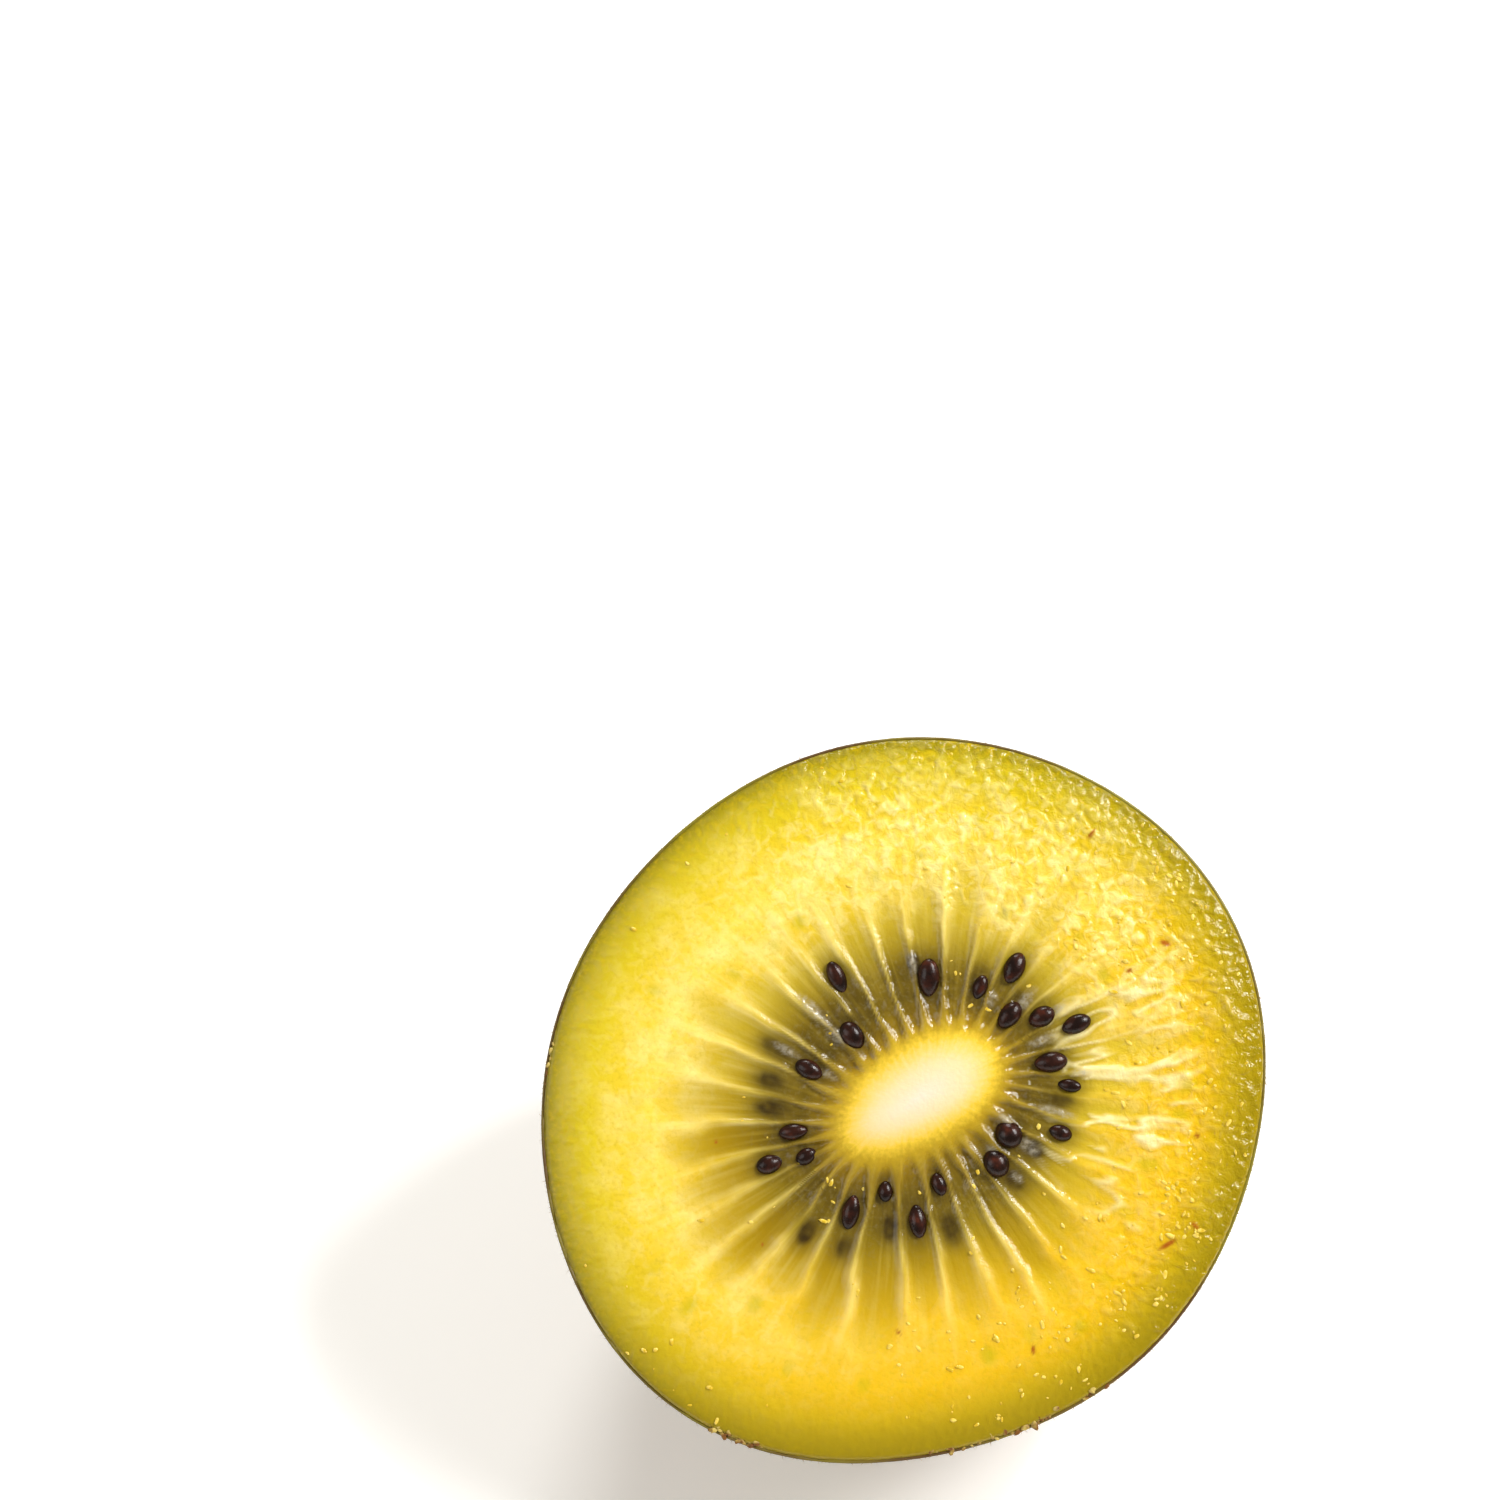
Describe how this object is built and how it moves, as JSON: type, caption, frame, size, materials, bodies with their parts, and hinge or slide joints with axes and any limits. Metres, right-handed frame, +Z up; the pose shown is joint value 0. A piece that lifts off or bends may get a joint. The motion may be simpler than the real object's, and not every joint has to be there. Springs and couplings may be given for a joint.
{
  "type": "half golden kiwi fruit",
  "caption": "Half of a golden kiwi fruit, cut across: yellow face with a pale core, rays and dark seeds, brown skin with a stem scar, lying on its skin.",
  "frame": {"origin": "centre of the small flat spot of the skin that the half rests on", "axes": "+Z up from the table; the cut face looks to the front (-Y) and up, its plane tilted 40 degrees from the table; +X to the right of the cut face as seen from the front"},
  "size_m": [0.0518, 0.0511, 0.049],
  "materials": {
    "flesh": "wet cut fruit flesh, golden yellow with a greener edge, glossy",
    "skin": "thin dry brown-olive skin with pale specks and short down, satin",
    "seed": "smooth wet seed coat, nearly black, glossy",
    "stem_scar": "dry corky stem scar, matt"
  },
  "bodies": {
    "root": {"half_fruit": "flesh"}
  },
  "joints": []
}
